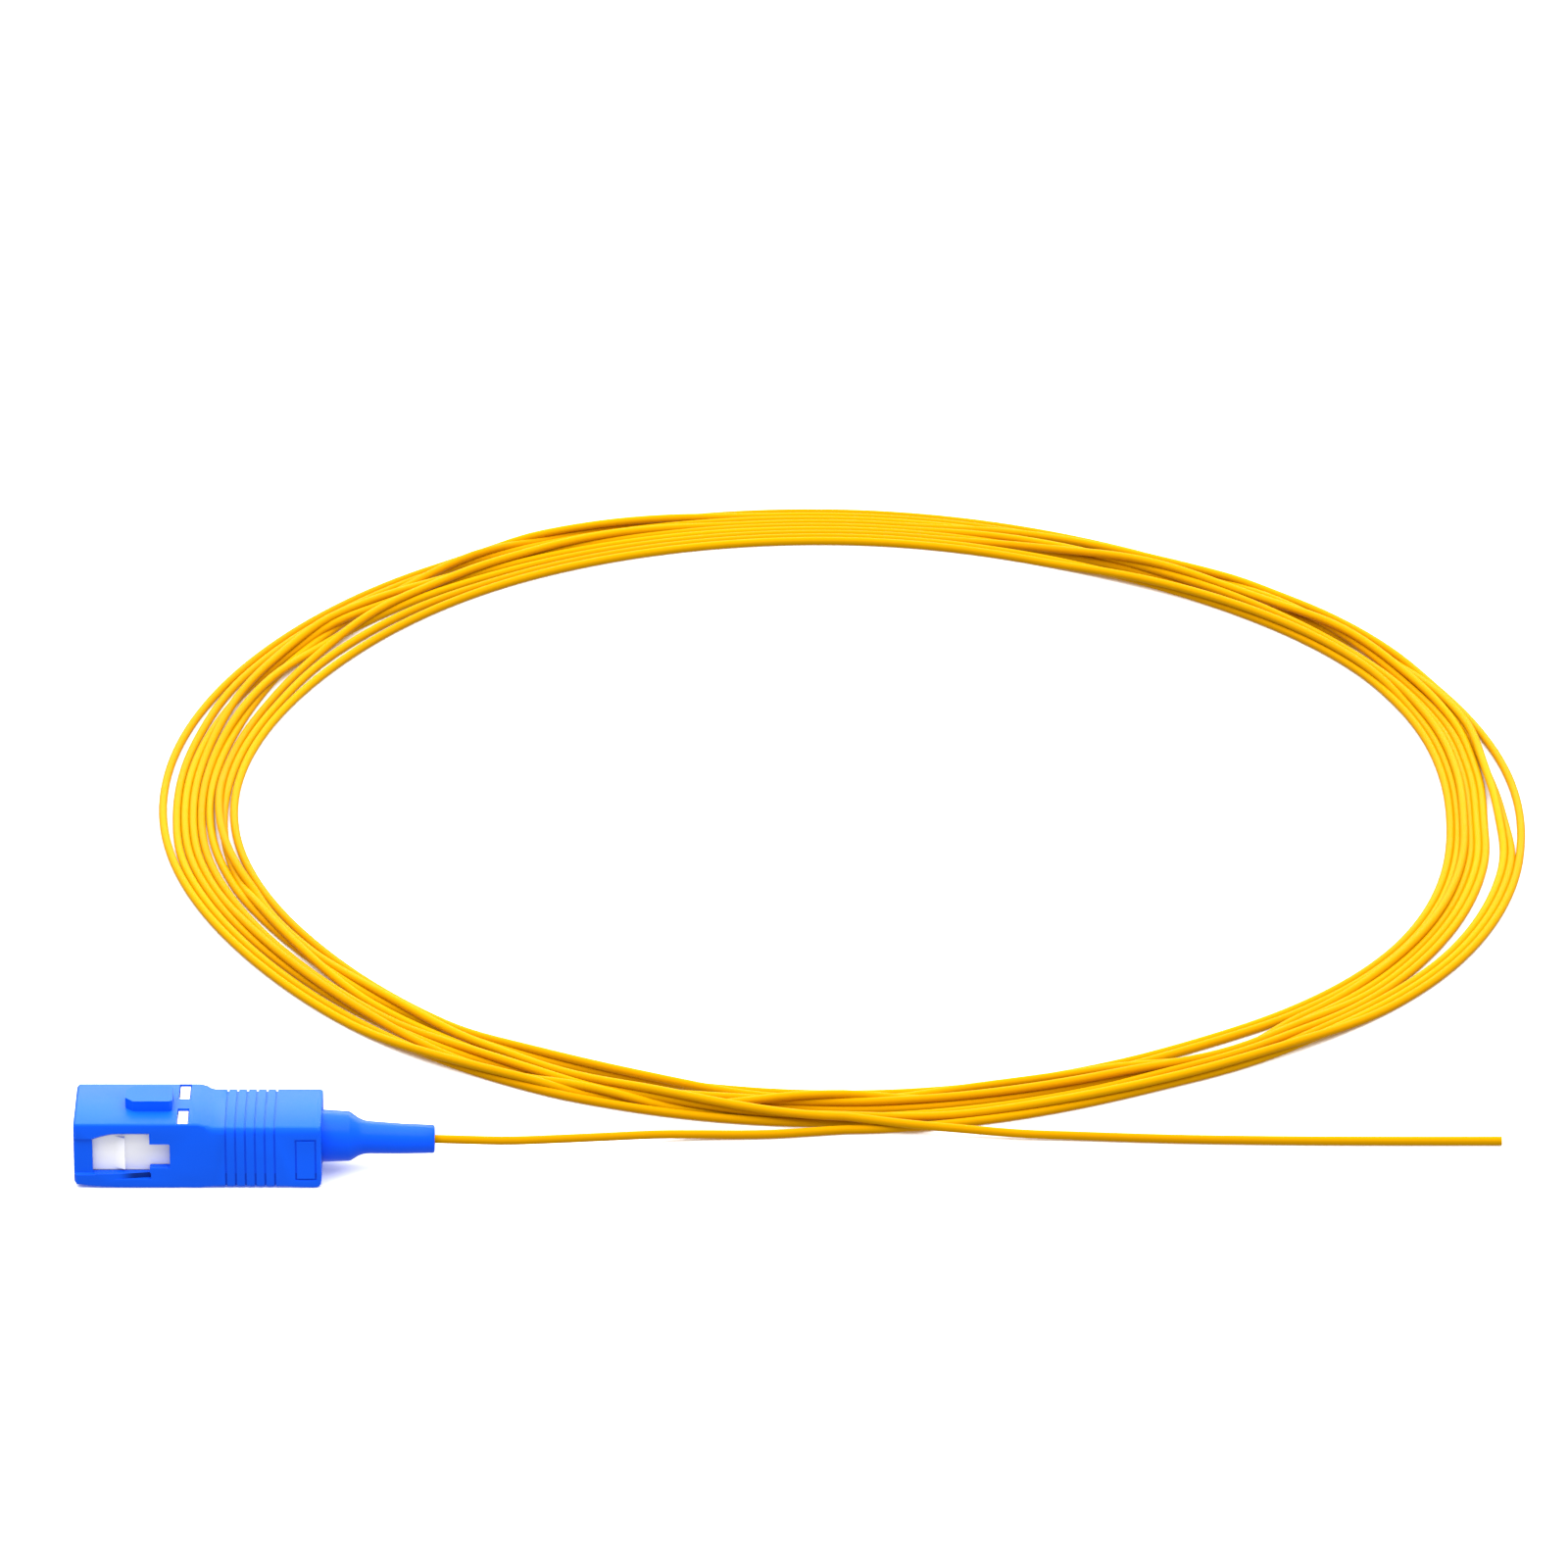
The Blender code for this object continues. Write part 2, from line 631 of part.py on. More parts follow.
def add_spring(finish, parent):
    """Round-wire compression spring, a tube swept along a helix about the axis."""
    wire = SPRING_WIRE / 2
    turn = SPRING_DIAMETER / 2
    start = FRONT_X + spring_start() + wire
    run = SPRING_LENGTH - SPRING_WIRE
    steps = int(SPRING_TURNS * 14)
    rings = []
    for i in range(steps + 1):
        share = i / steps
        angle = 2 * math.pi * SPRING_TURNS * share
        outward = Vector((0, math.cos(angle), math.sin(angle)))
        centre = outward * turn + Vector((start + run * share, 0, AXIS_Z))
        ring = []
        for k in range(WIRE_SIDES):
            round_wire = 2 * math.pi * k / WIRE_SIDES
            offset = outward * math.cos(round_wire) + Vector((1, 0, 0)) * math.sin(round_wire)
            ring.append(centre + offset * wire)
        rings.append(ring)
    return add_object("spring", loft("spring", rings), finish, parent, 60)


def add_stop_ring(finish, parent):
    """Stop ring: a neck that snaps into the frame, a flange, and a ridged barrel for the boot."""
    start = stop_start()
    flange = stop_flange_start()
    flange_end = flange + STOP_FLANGE_THICKNESS
    barrel_end = flange_end + STOP_BARREL
    neck = BARREL_BORE / 2 - SLIDE_GAP
    rim = STOP_FLANGE_DIAMETER / 2
    barrel = STOP_BARREL_DIAMETER / 2
    bore = STOP_BORE / 2
    profile = (
        (start, neck),
        (flange, neck),
        (flange, rim),
        (flange_end, rim),
        (flange_end, barrel),
        (barrel_end, barrel),
        (barrel_end, bore),
        (start, bore),
    )
    made = add_object("stop_ring", turned_tube("stop_ring", profile), finish, parent, 30)
    x0 = FRONT_X + snap_start()
    tall = SNAP_HEIGHT / 2
    root = (neck + bore) / 2
    for side in (-1, 1):
        y0, y1 = sorted((side * root, side * SNAP_REACH))
        join(made, box("snap", x0, x0 + SNAP_LENGTH, y0, y1, AXIS_Z - tall, AXIS_Z + tall))
    return made


def add_boot(finish, parent):
    """Soft boot: a collar over the stop ring's barrel, a short cone and a thin tapered tube."""
    collar = BOOT_COLLAR_DIAMETER / 2
    collar_end = collar - BOOT_COLLAR_TAPER / 2
    neck = BOOT_NECK_DIAMETER / 2
    tip = BOOT_TIP_DIAMETER / 2
    start = stop_flange_start() + STOP_FLANGE_THICKNESS + SEAT_GAP
    barrel_end = start + STOP_BARREL
    cone_end = BOOT_COLLAR_END + BOOT_CONE
    socket = STOP_BARREL_DIAMETER / 2 + BOOT_BARREL_GAP
    bore = BOOT_BORE / 2
    lip = EDGE_ROUNDING
    profile = [(start, collar - lip), (start + lip, collar), (HOUSING_LENGTH, collar)]
    for share, fall in ((0.0, 0.03), (0.12, 0.12), (0.25, 0.31), (0.5, 0.68), (0.75, 0.9), (1.0, 1.0)):
        profile.append((BOOT_COLLAR_END + BOOT_CONE * share, collar_end + (neck - collar_end) * fall))
    profile += [
        ((cone_end + CONNECTOR_LENGTH) / 2, neck + (tip - neck) * 0.62),
        (CONNECTOR_LENGTH - lip / 2, tip),
        (CONNECTOR_LENGTH, tip - lip / 2),
        (CONNECTOR_LENGTH, bore),
        (barrel_end, bore),
        (barrel_end, socket),
        (start, socket),
    ]
    return add_object("boot", turned_tube("boot", profile), finish, parent, 40)


def smooth_route(places, step):
    """Points about a step apart on a smooth curve (Catmull-Rom) through the places."""
    route = np.array(places) * MM
    padded = np.vstack([2 * route[0] - route[1], route, 2 * route[-1] - route[-2]])
    found = [route[0]]
    for i in range(len(route) - 1):
        a, b, c, d = padded[i : i + 4]
        count = max(1, round(float(np.linalg.norm(c - b)) / step))
        for k in range(1, count + 1):
            t = k / count
            square = 2 * a - 5 * b + 4 * c - d
            cube = 3 * b - a - 3 * c + d
            found.append((2 * b + (c - a) * t + square * t**2 + cube * t**3) / 2)
    return found


def add_tube(name, places, finish, parent):
    """Round tube along a smooth route."""
    curve = bpy.data.curves.new(name, "CURVE")
    curve.dimensions = "3D"
    curve.bevel_depth = FIBRE_DIAMETER / 2
    curve.bevel_resolution = 2
    curve.use_fill_caps = True
    line = curve.splines.new("POLY")
    points = smooth_route(places, TUBE_STEP)
    line.points.add(len(points) - 1)
    for knot, place in zip(line.points, points):
        knot.co = (*place, 1.0)
    curve.materials.append(finish)
    made = bpy.data.objects.new(name, curve)
    bpy.context.scene.collection.objects.link(made)
    made.parent = parent
    return made


def add_fibre_coil(finish, parent):
    """Turned ring of the coil's outer shape, with one low ridge for each turn that shows on top."""
    inner = COIL_OUTER_RADIUS - COIL_WIDTH
    pitch = COIL_WIDTH / COIL_TURNS
    ridge = FIBRE_DIAMETER / 2
    shoulder = COIL_HEIGHT - ridge
    profile = [(COIL_OUTER_RADIUS, 0.0), (COIL_OUTER_RADIUS, shoulder)]
    for i in range(COIL_TURNS):
        outer = COIL_OUTER_RADIUS - i * pitch
        if i:
            profile.append((outer, shoulder))
        profile.append((outer - 0.3 * pitch, COIL_HEIGHT))
        profile.append((outer - 0.7 * pitch, COIL_HEIGHT))
    profile += [(inner, shoulder), (inner, 0.0)]
    centre_y = COIL_FRONT_Y + COIL_OUTER_RADIUS
    rings = []
    for i in range(COIL_SIDES):
        angle = 2 * math.pi * i / COIL_SIDES - math.pi / 2
        across, along = math.cos(angle), math.sin(angle)
        rings.append([(COIL_CENTRE_X + r * across, centre_y + r * along, z) for r, z in profile])
    return add_object("fibre_coil", loft("fibre_coil", rings, closed=True), finish, parent, 40)


def empty(name, parent=None):
    """Empty that carries the pieces of one body, on the axis that they move along."""
    made = bpy.data.objects.new(name, None)
    bpy.context.scene.collection.objects.link(made)
    made.parent = parent
    return made


def main():
    """Makes the whole pigtail, its moving pieces under empties."""
    clear_scene()
    blue = material("blue_plastic", (0.01, 0.13, 0.85), 0.3)
    boot_blue = material("boot_blue", (0.01, 0.12, 0.85), 0.4)
    white = material("white_plastic", (0.85, 0.86, 0.9), 0.35)
    ceramic = material("zirconia", (0.93, 0.92, 0.88), 0.15)
    nickel = material("nickel", (0.75, 0.72, 0.66), 0.3, 1.0)
    steel = material("spring_steel", (0.6, 0.6, 0.62), 0.3, 1.0)
    yellow = material("yellow_buffer", (1.0, 0.62, 0.01), 0.45)
    plug = empty("plug")
    grip = empty("grip_slide", plug)
    float_axis = empty("ferrule_float", plug)
    add_outer_housing(blue, grip)
    add_plug_frame(white, plug)
    add_ferrule(ceramic, float_axis)
    add_ferrule_flange(nickel, float_axis)
    add_spring(steel, plug)
    add_stop_ring(nickel, plug)
    add_boot(boot_blue, plug)
    add_tube("fibre_lead", LEAD_ROUTE_MM, yellow, plug)
    add_fibre_coil(yellow, plug)
    add_tube("fibre_tail", TAIL_ROUTE_MM, yellow, plug)


main()
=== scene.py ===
"""Looks of a fibre optic pigtail: its plastics, ceramic and metals, and its fibre wound turn by turn.

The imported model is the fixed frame, and everything here is in metres in that same frame: X runs from the
connector's mating end to the fibre, Y across the connector towards the coil, and Z up from the floor.
Each piece, or group of like pieces, and the stage has an operator of its own, and main() runs them in order.
"""

import json
import math

import bmesh
import bpy
import numpy as np
from bpy.props import FloatProperty, FloatVectorProperty, IntProperty, PointerProperty
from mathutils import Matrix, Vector

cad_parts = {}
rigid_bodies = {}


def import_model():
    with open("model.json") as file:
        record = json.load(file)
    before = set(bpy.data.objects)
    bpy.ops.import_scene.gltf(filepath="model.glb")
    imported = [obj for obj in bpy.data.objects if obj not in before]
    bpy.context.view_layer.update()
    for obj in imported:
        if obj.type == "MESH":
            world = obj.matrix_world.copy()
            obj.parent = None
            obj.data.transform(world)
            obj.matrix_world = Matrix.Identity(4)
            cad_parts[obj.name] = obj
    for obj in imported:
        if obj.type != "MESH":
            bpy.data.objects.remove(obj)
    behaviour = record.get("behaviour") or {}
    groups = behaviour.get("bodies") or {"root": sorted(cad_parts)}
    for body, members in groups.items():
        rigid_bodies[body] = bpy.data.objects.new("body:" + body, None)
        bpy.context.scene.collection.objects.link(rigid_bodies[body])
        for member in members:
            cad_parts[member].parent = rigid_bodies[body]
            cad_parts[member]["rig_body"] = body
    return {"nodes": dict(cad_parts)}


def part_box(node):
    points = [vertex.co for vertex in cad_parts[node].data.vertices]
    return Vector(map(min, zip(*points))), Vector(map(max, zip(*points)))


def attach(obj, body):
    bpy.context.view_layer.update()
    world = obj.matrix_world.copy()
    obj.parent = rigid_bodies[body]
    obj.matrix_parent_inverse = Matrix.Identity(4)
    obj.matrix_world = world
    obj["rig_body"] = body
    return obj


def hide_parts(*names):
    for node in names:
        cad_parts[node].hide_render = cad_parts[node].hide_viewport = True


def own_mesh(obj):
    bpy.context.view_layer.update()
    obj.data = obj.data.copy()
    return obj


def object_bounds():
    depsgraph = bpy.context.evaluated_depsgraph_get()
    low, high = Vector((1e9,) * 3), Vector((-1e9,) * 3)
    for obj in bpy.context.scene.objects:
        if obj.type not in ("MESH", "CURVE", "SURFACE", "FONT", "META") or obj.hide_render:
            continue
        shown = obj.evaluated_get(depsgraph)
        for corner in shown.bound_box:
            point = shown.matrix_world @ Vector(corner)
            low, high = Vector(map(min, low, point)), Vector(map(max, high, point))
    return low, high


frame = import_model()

bl_info = {
    "name": "Fibre Optic Pigtail",
    "version": (1, 0, 0),
    "blender": (4, 5, 0),
    "location": "3D View > Sidebar > Pigtail",
    "description": "Dresses a packed fibre optic pigtail and winds its fibre",
    "category": "Object",
}

MM = 0.001
cad_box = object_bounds()

# The connector's axis, and the tip of the boot where the fibre leaves it
AXIS_Z = sum(corner.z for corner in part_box("ferrule")) / 2
BOOT_TIP = Vector((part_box("boot")[1].x, 0.0, AXIS_Z))

# How the soft boot sags past the middle of its collar, and how much fuller its thin tube is at the tip
SAG_START = 9.0 * MM
SAG = 0.38 * MM
TUBE_START = 12.0 * MM
TUBE_FULL = 17.0 * MM
TUBE_SWELL = 0.17
BORE_REACH = 0.8 * MM

# Moulded plastic: how pale its edges are painted, as rub and painted highlight, and how strong and of what
# dark blue the painted shade is under the latch windows
RUB_AND_HIGHLIGHT_SHARE = 0.2
RECESS_PAINTED_SHADE = 0.85
RECESS_SHADE_COLOUR = (0.0, 0.01, 0.1)

# That painted shade darkens faces that lie back behind the housing's side wall, from this far below the
# connector's axis downwards
SIDE_WALL = 4.5 * MM
RECESS_SHADE_TOP = 1.95 * MM

# CAD points nearer than this are merged, and CAD faces within so many degrees of flat are joined
MERGE_REACH = 0.0005 * MM
FLAT_ANGLE = 0.4

# The camera looks at this point of the floor, lifted by so much at right angles to its line of sight
AIM = Vector((54.05 * MM, -4.5 * MM, 0.0))
AIM_LIFT = 41.27 * MM
FLOOR_HALF = 6.0

# Routes of the fibre's straight ends in mm, near those of the part's source: the lead leaves the sagged boot
LEAD_ROUTE_MM = (
    (16.0, 0.0, 3.35),
    (18.5, 0.0, 3.32),
    (22.0, 0.2, 3.1),
    (26.0, 0.8, 2.7),
    (31.0, 2.2, 2.15),
    (36.0, 3.9, 1.5),
    (41.0, 5.4, 0.95),
    (44.8, 6.1, 0.6),
)
TAIL_ROUTE_MM = (
    (84.0, 6.0, 0.5),
    (94.0, 5.4, 0.46),
    (105.0, 5.05, 0.46),
    (116.0, 4.95, 0.46),
    (127.8, 4.95, 0.46),
)

# Places by which the straight ends run into the coil, in mm
LEAD_JOIN_MM = ((52.5, 6.4, 0.46),)
TAIL_JOIN_MM = ((66.5, 7.3, 1.2), (72.5, 6.7, 0.9), (78.5, 6.2, 0.62))

# The coil, from above: one value for every 30 degrees, counter-clockwise from the front
COIL_OUTER_MM = (72.4, 71.2, 73.5, 73.4, 72.8, 73.8, 76.6, 77.6, 75.5, 73.5, 71.1, 71.8)
COIL_INNER_MM = (64.6, 64.5, 66.6, 65.9, 67.5, 67.0, 69.2, 69.3, 66.9, 65.8, 63.8, 64.3)

# How the strand wanders between the ring's edges: size of each swing, swings per turn, start in degrees
WANDER = (
    (3.0, 0.29, 40.0),
    (2.2, 0.57, 200.0),
    (1.0, 0.89, 310.0),
)

# Where a turn keeps its lane, in degrees from the front: its wander is read at the second row instead
LANE_STATIONS = (0.0, 25.0, 108.0, 150.0, 210.0, 245.0, 282.0, 360.0)
LANE_READ_AT = (0.0, 70.0, 70.0, 150.0, 150.0, 210.0, 210.0, 360.0)

# Daylight between neighbouring turns: angle and half spread in degrees, lane below it, width in mm
DAYLIGHT = (
    (-54.5, 7.5, 1, 2.9),
    (-15.5, 24.0, 5, 1.4),
    (4.0, 12.0, 7, 1.2),
    (140.0, 16.0, 0, 0.7),
    (172.0, 17.0, 7, 0.7),
)

FRONT_ANGLE = -90.0
TURNS = 9
STEPS_PER_TURN = 240

# Near both ends of the coil the strand is pushed outwards, most at the end itself, over so many degrees
END_PUSH = 12.0
END_PUSH_REACH = 50.0

# Steps over which a change of lane and the radius are smoothed, and rounds that the coil takes to settle
LANE_SMOOTHING = 26
RADIUS_SMOOTHING = 3
SETTLING_ROUNDS = 900

FLOOR_GAP = 0.01 * MM
FIBRE_SPACING = 1.8 * MM


class FibreSettings(bpy.types.PropertyGroup):
    """Sizes and colours of the buffered fibre."""

    diameter: FloatProperty(
        name="Diameter", description="Diameter of the buffer", default=0.9 * MM, unit="LENGTH", precision=5
    )
    core: FloatProperty(
        name="Coated fibre",
        description="Diameter of the coated fibre that shows at the bare end",
        default=0.25 * MM,
        unit="LENGTH",
        precision=5,
    )
    sides: IntProperty(name="Sides", description="Flat sides round the buffer", default=14, min=6, max=32)
    colour: FloatVectorProperty(
        name="Buffer colour",
        description="Yellow of the buffer",
        default=(0.555, 0.272, 0.0006),
        subtype="COLOR",
    )
    deep_colour: FloatVectorProperty(
        name="Deep buffer colour",
        description="Yellow where the buffer's wall is thicker",
        default=(0.525, 0.228, 0.0006),
        subtype="COLOR",
    )


class PlasticSettings(bpy.types.PropertyGroup):
    """Edges and colours of the moulded pieces."""

    edge: FloatProperty(
        name="Edge rounding",
        description="Radius on the moulded edges",
        default=0.05 * MM,
        unit="LENGTH",
        precision=5,
    )
    housing_colour: FloatVectorProperty(
        name="Housing colour",
        description="Blue of the housing",
        default=(0.0026, 0.098, 0.84),
        subtype="COLOR",
    )
    boot_colour: FloatVectorProperty(
        name="Boot colour", description="Blue of the boot", default=(0.0016, 0.083, 0.84), subtype="COLOR"
    )
    frame_colour: FloatVectorProperty(
        name="Frame colour",
        description="White of the plug frame",
        default=(0.95, 0.95, 0.97),
        subtype="COLOR",
    )


class MetalSettings(bpy.types.PropertyGroup):
    """Colours of the ceramic and metal pieces."""

    ceramic_colour: FloatVectorProperty(
        name="Ceramic colour", description="White of the ferrule", default=(0.88, 0.87, 0.83), subtype="COLOR"
    )
    nickel_colour: FloatVectorProperty(
        name="Nickel colour", description="Nickel plating", default=(0.72, 0.69, 0.62), subtype="COLOR"
    )
    steel_colour: FloatVectorProperty(
        name="Steel colour", description="Spring wire", default=(0.6, 0.6, 0.62), subtype="COLOR"
    )


class StageSettings(bpy.types.PropertyGroup):
    """Floor, lights and camera."""

    floor_colour: FloatVectorProperty(
        name="Floor colour", description="Colour of the floor", default=(0.92, 0.92, 0.92), subtype="COLOR"
    )
    softbox: FloatProperty(
        name="Softbox", description="Power of the lamp overhead", default=92.0, unit="POWER"
    )
    card: FloatProperty(
        name="Back card", description="Power of the low bright card behind", default=54.0, unit="POWER"
    )
    sky: FloatProperty(name="Sky", description="Strength of the even light all round", default=0.8)
    reach: FloatProperty(
        name="Camera reach", description="Distance of the camera from its aim", default=1.23, unit="LENGTH"
    )
    elevation: FloatProperty(
        name="Camera elevation",
        description="Angle at which the camera looks down",
        default=math.radians(26.5),
        subtype="ANGLE",
    )
    lens: FloatProperty(name="Lens", description="Focal length in mm, on a 36 mm sensor", default=276.75)


class Wire:
    """Output socket of a material's node, with operators that add Math nodes after it."""

    def __init__(self, tree, socket=None):
        self.tree = tree
        self.socket = socket

    def node(self, kind, sockets=None, output=0, **settings):
        """Adds a node: its settings first, then its sockets' values or wires."""
        made = self.tree.nodes.new(kind)
        for name, value in settings.items():
            setattr(made, name, value)
        for name, value in (sockets or {}).items():
            if isinstance(value, Wire):
                self.tree.links.new(value.socket, made.inputs[name])
            else:
                made.inputs[name].default_value = value
        return Wire(self.tree, made.outputs[output])

    def maths(self, operation, first, second=0.0):
        """Math node on two values or wires."""
        return self.node("ShaderNodeMath", {0: first, 1: second}, operation=operation)

    def __add__(self, other):
        return self.maths("ADD", self, other)

    def __radd__(self, other):
        return self.maths("ADD", other, self)

    def __sub__(self, other):
        return self.maths("SUBTRACT", self, other)

    def __rsub__(self, other):
        return self.maths("SUBTRACT", other, self)

    def __mul__(self, other):
        return self.maths("MULTIPLY", self, other)

    def __rmul__(self, other):
        return self.maths("MULTIPLY", other, self)

    def __pow__(self, other):
        return self.maths("POWER", self, other)

    def __lt__(self, other):
        return self.maths("LESS_THAN", self, other)

    def part(self, axis):
        """One coordinate, X, Y or Z, of a vector."""
        return self.node("ShaderNodeSeparateXYZ", {0: self}, output="XYZ".index(axis))

    def ramp(self, low, high, start=0.0, end=1.0):
        """Smooth rise from start to end while the value goes from low to high."""
        sockets = {"Value": self, "From Min": low, "From Max": high, "To Min": start, "To Max": end}
        return self.node("ShaderNodeMapRange", sockets, interpolation_type="SMOOTHSTEP")

    def noise(self, scale, detail=2.0, stretch=(1.0, 1.0, 1.0)):
        """Noise on a vector, finer as the scale grows; stretch multiplies its axes first."""
        place = self.node("ShaderNodeMapping", {"Vector": self, "Scale": stretch})
        return self.node("ShaderNodeTexNoise", {"Vector": place, "Scale": scale, "Detail": detail})

    def mix(self, low, high):
        """Colour from low to high as the value goes from 0 to 1; a Mix node's colours are sockets 6 and 7."""
        low, high = (colour if isinstance(colour, Wire) else (*colour[:3], 1.0) for colour in (low, high))
        return self.node("ShaderNodeMix", {0: self, 6: low, 7: high}, output=2, data_type="RGBA")


def new_material(name, **constants):
    """New material: its shader, with the sockets that are the same all over, and a start for its wires."""
    made = bpy.data.materials.new(name)
    made.use_nodes = True
    shader = made.node_tree.nodes["Principled BSDF"]
    for socket, value in constants.items():
        shader.inputs[socket.replace("_", " ")].default_value = value
    wire = Wire(made.node_tree)
    place = wire.node("ShaderNodeTexCoord", output=3)
    return made, shader, wire, place


def feed(wire, shader, colour, roughness, height=None, depth=0.0, normal=None):
    """Leads the patterns into the shader, and the height into a Bump node of that depth in metres."""
    links = wire.tree.links
    links.new(colour.socket, shader.inputs["Base Color"])
    links.new(roughness.socket, shader.inputs["Roughness"])
    if height is not None:
        sockets = {"Height": height, "Distance": depth, "Strength": 1.0}
        if normal is not None:
            sockets["Normal"] = normal
        normal = wire.node("ShaderNodeBump", sockets)
    if normal is not None:
        links.new(normal.socket, shader.inputs["Normal"])


def tint(colour, share):
    """Colour made lighter by a share above 1, or darker below 1, and kept within a paint's range."""
    return tuple(min(1.0, channel * share) for channel in colour)


def painted_recess_shade(wire, place):
    """Share of painted shade on side faces that lie back under the latch windows, from 0 on the wall to 1 at
    the ramp's depth.
    """
    flat = wire.node("ShaderNodeNewGeometry", output=1).part("Y")
    side = flat * flat
    depth = SIDE_WALL - (place.part("Y") ** 2.0) ** 0.5
    under = AXIS_Z - RECESS_SHADE_TOP - place.part("Z")
    return side.ramp(0.4, 0.6) * depth.ramp(0.05 * MM, 0.3 * MM) * under.ramp(0.0, 0.15 * MM)


def moulded_plastic(name, colour, roughness, level, grain=2600.0, depth=0.004 * MM):
    """Moulded plastic: a fine sparked grain, broad flow marks, a paler rub and painted highlight along the
    edges, and painted shade under the latch windows.
    """
    made, shader, wire, place = new_material(name, Specular_IOR_Level=level, IOR=1.5)
    flow = place.noise(160.0, 3.0, (0.35, 1.0, 1.0))
    fine = place.noise(grain, 3.0)
    rounded = wire.node("ShaderNodeBevel", {"Radius": 0.08 * MM}, samples=6)
    flat = wire.node("ShaderNodeNewGeometry", output=1)
    facing = wire.node("ShaderNodeVectorMath", {0: rounded, 1: flat}, output=1, operation="DOT_PRODUCT")
    edge = (1.0 - facing).ramp(0.004, 0.12)
    body = flow.ramp(0.3, 0.7).mix(tint(colour, 0.93), tint(colour, 1.06))
    # Painted shade: side faces sunk under the latch windows are mixed towards a dark blue
    shaded = (painted_recess_shade(wire, place) * RECESS_PAINTED_SHADE).mix(body, RECESS_SHADE_COLOUR)
    # Rub and painted highlight: the edges are mixed towards a paler colour
    rub_and_highlight = (edge * RUB_AND_HIGHLIGHT_SHARE).mix(shaded, tint(tuple(channel + 0.03 for channel in colour), 1.12))
    rough = roughness + (flow - 0.5) * 0.12 + (fine - 0.5) * 0.1 - edge * 0.05
    feed(wire, shader, rub_and_highlight, rough, fine, depth)
    return made


def yellow_buffer(name, colour, deep):
    """Extruded buffer: long faint draw lines, slow changes of wall along its length, and fine dullness."""
    gleam = (1.0, 0.7, 0.05, 1.0)
    made, shader, wire, _ = new_material(name, Specular_IOR_Level=0.012, Specular_Tint=gleam, IOR=1.5)
    along = wire.node("ShaderNodeUVMap", uv_map="along")
    slow = along.noise(14.0, 2.0, (1.0, 0.02, 1.0))
    lines = along.noise(9.0, 2.0, (2.0, 3.0, 1.0))
    dull = along.noise(2400.0, 2.0, (1.0, 0.0008, 1.0))
    body = slow.ramp(0.3, 0.7).mix(deep, colour)
    rough = 0.36 + (dull - 0.5) * 0.18 + (lines - 0.5) * 0.12
    feed(wire, shader, body, rough, lines, 0.006 * MM)
    return made


def glass_core(name):
    """Clear coated fibre in the buffer's cut end: bright glass in a thin grey coating."""
    made, shader, wire, place = new_material(name, Specular_IOR_Level=0.6, Coat_Weight=0.5)
    grain = place.noise(9000.0)
    body = grain.ramp(0.3, 0.7).mix((0.75, 0.78, 0.8), (0.93, 0.95, 0.96))
    feed(wire, shader, body, 0.12 + grain * 0.1)
    return made


def polished_ceramic(name, colour):
    """Zirconia: polished white, faintly clouded, with the fibre and its cement in its end face."""
    made, shader, wire, place = new_material(name, Specular_IOR_Level=0.75, IOR=1.6, Coat_Weight=0.4)
    cloud = place.noise(500.0, 4.0)
    radius = (place.part("Y") ** 2.0 + (place.part("Z") - AXIS_Z) ** 2.0) ** 0.5
    clouded = cloud.ramp(0.3, 0.7).mix(tint(colour, 0.96), colour)
    cement = (radius < 0.075 * MM).mix(clouded, (0.1, 0.09, 0.07))
    glass = (radius < 0.055 * MM).mix(cement, (0.8, 0.9, 1.0))
    feed(wire, shader, glass, 0.1 + (cloud - 0.5) * 0.08)
    return made


def turned_metal(name, colour, roughness):
    """Turned and plated metal: fine rings round the connector's axis, and a little dulling."""
    made, shader, wire, place = new_material(name, Metallic=1.0)
    rings = place.noise(1000.0, 3.0, (14.0, 0.6, 0.6))
    dull = place.noise(700.0, 3.0)
    body = dull.ramp(0.3, 0.7).mix(tint(colour, 0.88), tint(colour, 1.06))
    rough = roughness + (dull - 0.5) * 0.16 + (rings - 0.5) * 0.1
    feed(wire, shader, body, rough, rings, 0.004 * MM)
    return made


def floor_finish(name, colour):
    """Matt studio floor with a hardly seen mottle."""
    made, shader, wire, place = new_material(name, Specular_IOR_Level=0.1)
    mottle = place.noise(6.0, 2.0)
    body = mottle.ramp(0.3, 0.7).mix(tint(colour, 0.995), colour)
    feed(wire, shader, body, 0.85 + mottle * 0.1)
    return made


def link(name, mesh, materials):
    """Links a new object that holds the mesh and its materials."""
    made = bpy.data.objects.new(name, mesh)
    bpy.context.scene.collection.objects.link(made)
    for material in materials:
        mesh.materials.append(material)
    return made


def dress(node, name, material, edge=0.0, smooth_below=30.0, segments=2):
    """Shows a CAD node as a merged copy with the finish, its edges rounded by a Bevel modifier."""
    mesh = frame["nodes"][node].data.copy()
    mesh.materials.clear()
    shape = bmesh.new()
    shape.from_mesh(mesh)
    bmesh.ops.remove_doubles(shape, verts=shape.verts, dist=MERGE_REACH)
    flat = math.radians(FLAT_ANGLE)
    bmesh.ops.dissolve_limit(shape, angle_limit=flat, verts=shape.verts, edges=shape.edges)
    shape.to_mesh(mesh)
    shape.free()
    mesh.shade_smooth()
    mesh.set_sharp_from_angle(angle=math.radians(smooth_below))
    made = link(name, mesh, [material])
    if edge:
        bevel = made.modifiers.new("Moulded edges", "BEVEL")
        bevel.width = edge
        bevel.segments = segments
        bevel.limit_method = "ANGLE"
        bevel.angle_limit = math.radians(smooth_below)
        bevel.use_clamp_overlap = True
        bevel.harden_normals = True
    body = frame["nodes"][node]["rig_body"]
    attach(made, body)
    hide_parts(node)
    return made


